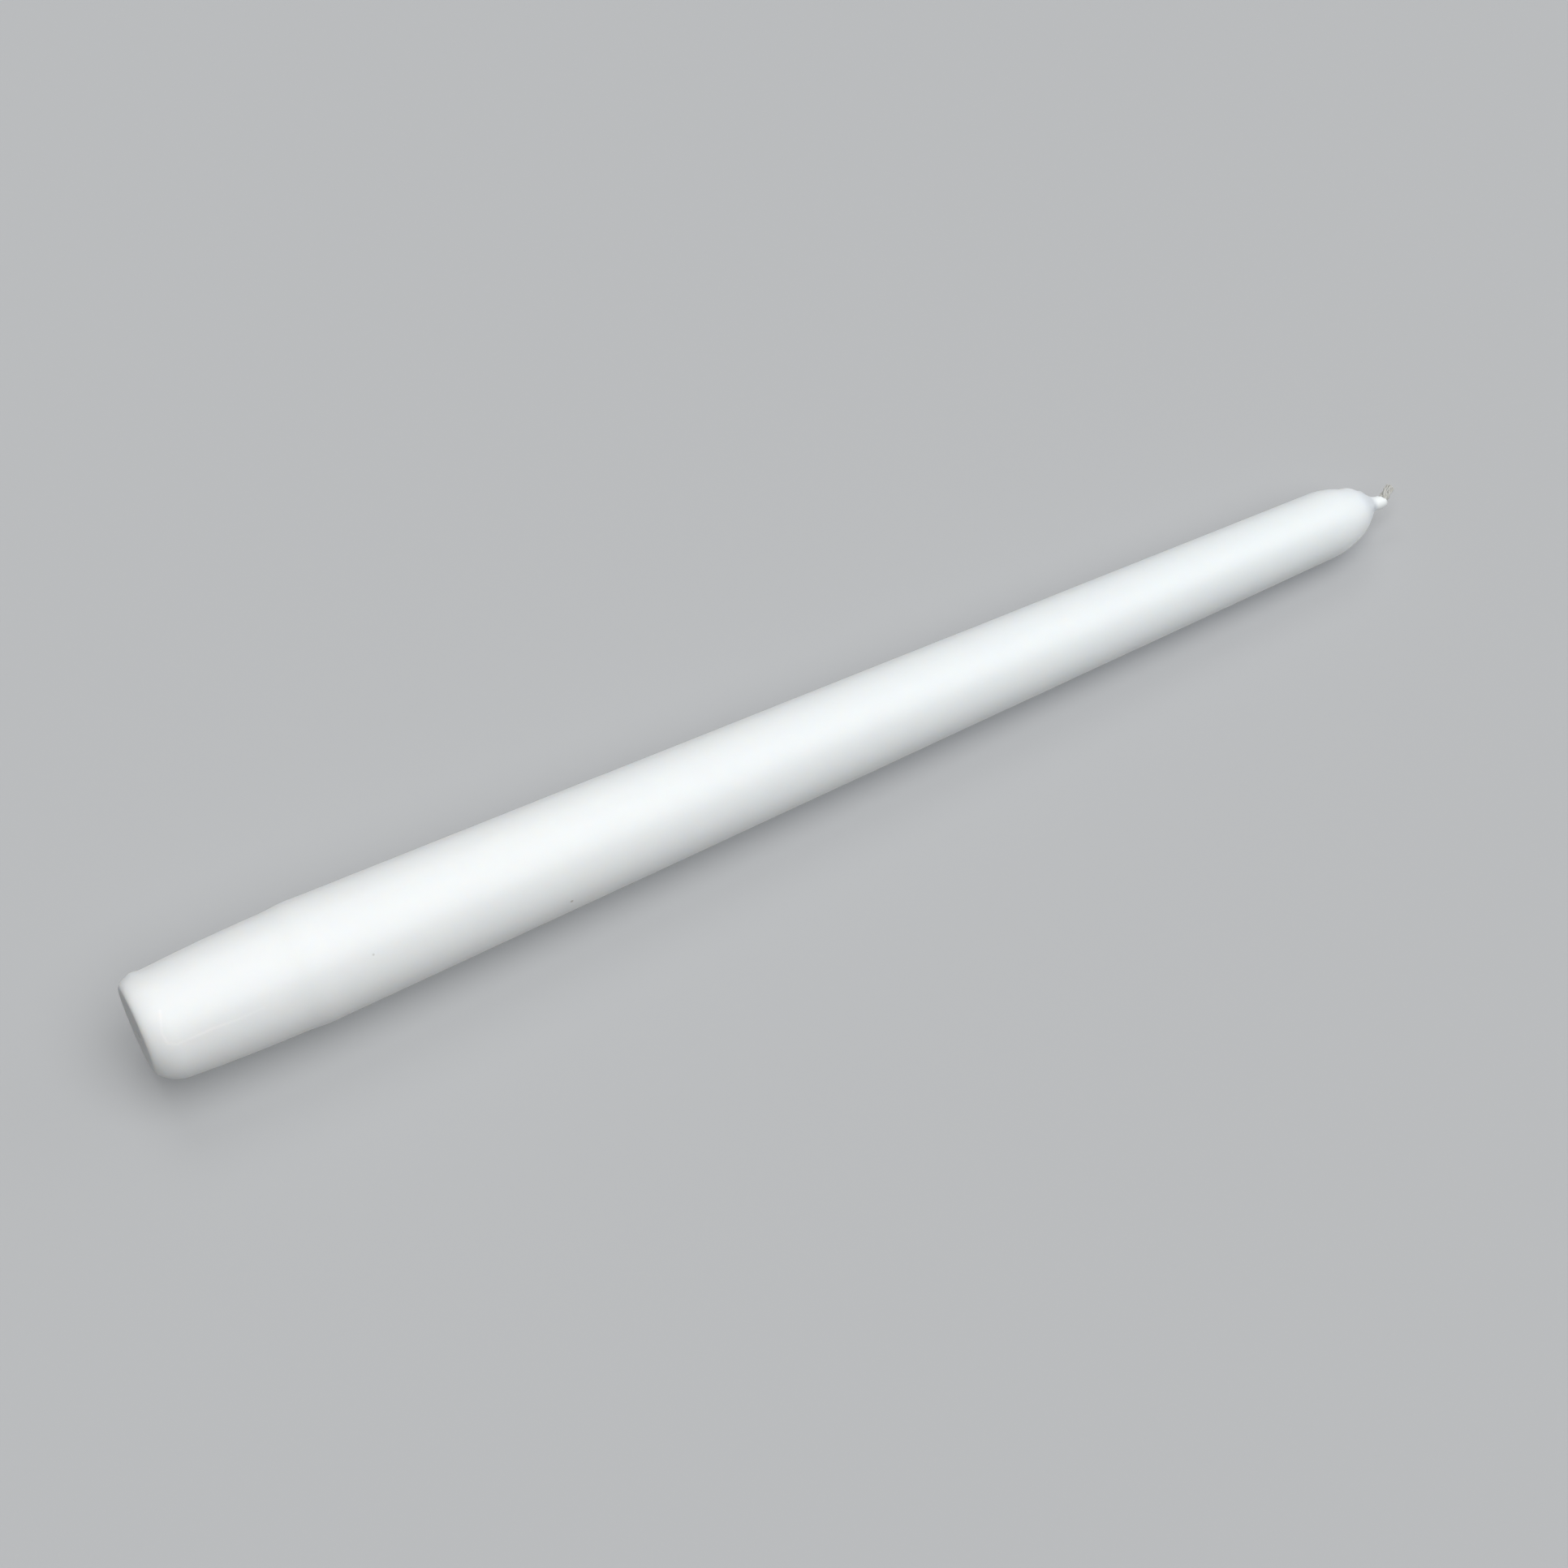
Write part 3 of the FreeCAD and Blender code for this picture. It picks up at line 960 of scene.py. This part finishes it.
# The braid stops this far short of the line's two ends, so that it stays inside the solid
CUT_START = 0.03 * MM
CUT_END = 0.07 * MM

# Close to the two ends the strands run straight, so that each is cut square
STRAIGHT_START = 0.7 * MM
STRAIGHT_END = 0.25 * MM

# The cut end draws in over this length, to this share of the braid's width
END_ROUND = 0.3 * MM
END_SHARE = 0.86
print(STRANDS, "strands, which wind once in", BRAID_PITCH / MM, "mm")


# %% Build the braid tree
def swept(tree, curve, radius, sides):
    """A round yarn along a curve. Its mesh keeps which way round each point lies."""
    circle = add_node(tree, "GeometryNodeCurvePrimitiveCircle", {
        "Resolution": sides, "Radius": radius})
    marked = add_node(tree, "GeometryNodeStoreNamedAttribute", {
        "Geometry": circle.outputs["Curve"], "Name": "around",
        "Value": add_node(tree, "GeometryNodeInputPosition").outputs[0],
    }, data_type="FLOAT_VECTOR", domain="POINT")
    return add_node(tree, "GeometryNodeCurveToMesh", {
        "Curve": curve, "Profile Curve": marked.outputs[0], "Fill Caps": True}).outputs[0]


def marked_line(tree, given):
    """The wick's line, with the points of a strand, each marked with its length along."""
    even = add_node(tree, "GeometryNodeResampleCurve", {
        "Curve": given["Geometry"], "Count": given["Points"]})
    share = add_node(tree, "GeometryNodeSplineParameter").outputs["Factor"]
    left = maths(tree, "POWER", maths(tree, "SUBTRACT", 1.0, share), POINTS_TO_TIP)
    whole = maths(tree, "SUBTRACT", given["Length"], CUT_START + CUT_END)
    end = maths(tree, "ADD", whole, CUT_START)
    length = maths(tree, "SUBTRACT", end, maths(tree, "MULTIPLY", left, whole))
    sample = add_node(tree, "GeometryNodeSampleCurve", {
        "Curves": given["Geometry"], "Length": length}, mode="LENGTH")
    spaced = add_node(tree, "GeometryNodeSetPosition", {
        "Geometry": even.outputs[0], "Position": sample.outputs["Position"]}).outputs[0]
    return add_node(tree, "GeometryNodeStoreNamedAttribute", {
        "Geometry": spaced, "Name": "along", "Value": length},
        data_type="FLOAT", domain="POINT").outputs[0]


def end_width(tree, left):
    """The share of its width that the braid has at a length before its end."""
    rest = maths(tree, "DIVIDE", left, END_ROUND)
    rest = maths(tree, "MINIMUM", maths(tree, "MAXIMUM", rest, 0.0), 1.0)
    rounded = maths(tree, "SQRT", maths(tree, "MULTIPLY", rest, maths(tree, "SUBTRACT", 2.0, rest)))
    return maths(tree, "ADD", END_SHARE, maths(tree, "MULTIPLY", rounded, 1 - END_SHARE))


def strand_place(tree, given, number, length):
    """How far out a strand lies at a length along the wick, and its angle round it."""
    odd = maths(tree, "MODULO", number, 2.0)
    direction = maths(tree, "SUBTRACT", 1.0, maths(tree, "MULTIPLY", odd, 2.0))
    place_in_set = maths(tree, "FLOOR", maths(tree, "DIVIDE", number, 2.0))
    start = maths(tree, "MULTIPLY", place_in_set, 2 * math.tau)
    start = maths(tree, "DIVIDE", start, given["Strands"])
    wound = maths(tree, "MAXIMUM", length, STRAIGHT_START)
    wound = maths(tree, "MINIMUM", wound, maths(tree, "SUBTRACT", given["Length"], STRAIGHT_END))
    turn = maths(tree, "DIVIDE", maths(tree, "MULTIPLY", wound, math.tau), given["Pitch"])
    angle = maths(tree, "ADD", maths(tree, "MULTIPLY", turn, direction), start)
    swings = maths(tree, "MULTIPLY", turn, maths(tree, "DIVIDE", given["Strands"], 2.0))
    swing = maths(tree, "MULTIPLY", maths(tree, "COSINE", swings), direction)
    swing = maths(tree, "MULTIPLY", swing, given["Swing"])
    radius = maths(tree, "ADD", given["Braid Radius"], swing)
    width = end_width(tree, maths(tree, "SUBTRACT", given["Length"], length))
    return maths(tree, "MULTIPLY", radius, width), angle


def braid_tree():
    """The tree that braids strands along the wick's line."""
    tree, given = new_shape_tree("braid", {
        "Strands": "NodeSocketInt",
        "Points": "NodeSocketInt",
        "Length": "NodeSocketFloat",
        "Pitch": "NodeSocketFloat",
        "Braid Radius": "NodeSocketFloat",
        "Swing": "NodeSocketFloat",
        "Strand Radius": "NodeSocketFloat",
        "Core Radius": "NodeSocketFloat",
        "Material": "NodeSocketMaterial",
    })
    marked = marked_line(tree, given)
    copies = add_node(tree, "GeometryNodeDuplicateElements", {
        "Geometry": marked, "Amount": given["Strands"]}, domain="SPLINE").outputs
    length = add_node(tree, "GeometryNodeInputNamedAttribute", {"Name": "along"}, data_type="FLOAT")
    radius, angle = strand_place(tree, given, copies["Duplicate Index"], length.outputs[0])
    ways = side_ways(tree, add_node(tree, "GeometryNodeInputTangent").outputs[0])
    wound = add_node(tree, "GeometryNodeSetPosition", {
        "Geometry": copies["Geometry"], "Offset": polar(tree, ways, radius, angle)})
    strands = swept(tree, wound.outputs[0], given["Strand Radius"], STRAND_SIDES)
    core = swept(tree, marked, given["Core Radius"], CORE_SIDES)
    joined = tree.nodes.new("GeometryNodeJoinGeometry")
    tree.links.new(strands, joined.inputs[0])
    tree.links.new(core, joined.inputs[0])
    finish_shape_tree(tree, joined.outputs[0], given["Material"])
    return tree


# %% Braid the wick
braided_wick = make_piece("braided_wick", line.data, braid_tree(), {
    "Strands": STRANDS,
    "Points": WICK_POINTS,
    "Length": line_length,
    "Pitch": BRAID_PITCH,
    "Braid Radius": BRAID_RADIUS,
    "Swing": BRAID_SWING,
    "Strand Radius": STRAND_RADIUS,
    "Core Radius": CORE_RADIUS,
    "Material": waxed_cotton,
})
bpy.data.objects.remove(line)

# %% [markdown]
# The stage
#
# The candle stands on a pale floor. In the photograph it lies on a surface, so a second
# pale sheet touches the candle's side as that surface does: at the knee and at the
# shoulder, 30 degrees round from the camera's side. Both sheets are seen only by the
# camera and only from the front. The light passes them, so they darken no side of the
# candle, but they catch its shadow. The floor's own shade is paler, because the lamps
# shine more across it than on it, and so both come out alike.

# %% Lay the floor and the sheet behind
SHEET_AZIMUTH = math.radians(-30.4)
SHEET_GAP = 0.12 * MM
FLOOR_SHADE = (0.688, 0.704, 0.716, 1.0)
# In metres, so large that no view shows an edge
SHEET_HALF_WIDTH = 4.0
SHEET_BELOW = 2.0
SHEET_ABOVE = 4.0
FLOOR_HALF_WIDTH = 20.0


def stage_material(name, shade):
    """Pale paper that only the camera sees, from its front."""
    material, tree = new_material(name)
    paper = add_node(tree, "ShaderNodeBsdfDiffuse", {"Color": shade})
    clear = add_node(tree, "ShaderNodeBsdfTransparent")
    behind = add_node(tree, "ShaderNodeNewGeometry").outputs["Backfacing"]
    seen = maths(tree, "MULTIPLY", seen_directly(tree), maths(tree, "SUBTRACT", 1.0, behind))
    mix = add_node(tree, "ShaderNodeMixShader", {0: seen, 1: clear.outputs[0], 2: paper.outputs[0]})
    add_node(tree, "ShaderNodeOutputMaterial", {"Surface": mix.outputs[0]})
    return material


def sheet_of_paper(name, centre, right, up, half_width, below, above, material):
    """One flat face that looks along right x up."""
    side = right * half_width
    low, high = centre - up * below, centre + up * above
    corners = [low - side, low + side, high + side, high - side]
    mesh = bpy.data.meshes.new(name)
    mesh.from_pydata(corners, [], [(0, 1, 2, 3)])
    mesh.materials.append(material)
    sheet = bpy.data.objects.new(name, mesh)
    bpy.context.scene.collection.objects.link(sheet)


sheet_paper = stage_material("sheet_paper", BACKDROP_SHADE)
floor_paper = stage_material("floor_paper", FLOOR_SHADE)
lean = math.atan((KNEE_RADIUS - TAPER_END_RADIUS) / (SHOULDER_START - KNEE_HEIGHT))
upright = Vector((0, 0, 1))
outwards = Vector((math.sin(SHEET_AZIMUTH), -math.cos(SHEET_AZIMUTH), 0))
sheet_up = outwards * math.sin(lean) + upright * math.cos(lean)
facing = outwards * math.cos(lean) - upright * math.sin(lean)
touch = upright * KNEE_HEIGHT - outwards * KNEE_RADIUS - facing * SHEET_GAP
sheet_of_paper("back_sheet", touch, sheet_up.cross(facing), sheet_up,
               SHEET_HALF_WIDTH, SHEET_BELOW, SHEET_ABOVE, sheet_paper)
under = upright * (wax_low.z - SHEET_GAP)
sheet_of_paper("floor", under, Vector((1, 0, 0)), Vector((0, 1, 0)),
               FLOOR_HALF_WIDTH, FLOOR_HALF_WIDTH, FLOOR_HALF_WIDTH, floor_paper)
print("the sheet faces", [round(x, 3) for x in facing])

# %% [markdown]
# Handing over
#
# Each piece rides on the part's one body and stands for its plain solid.

# %% Ride and replace
for piece, node, slot in ((cast_wax, "wax_body", "wax"), (braided_wick, "wick", "wick_cotton")):
    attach(piece, "root")
    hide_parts(node)
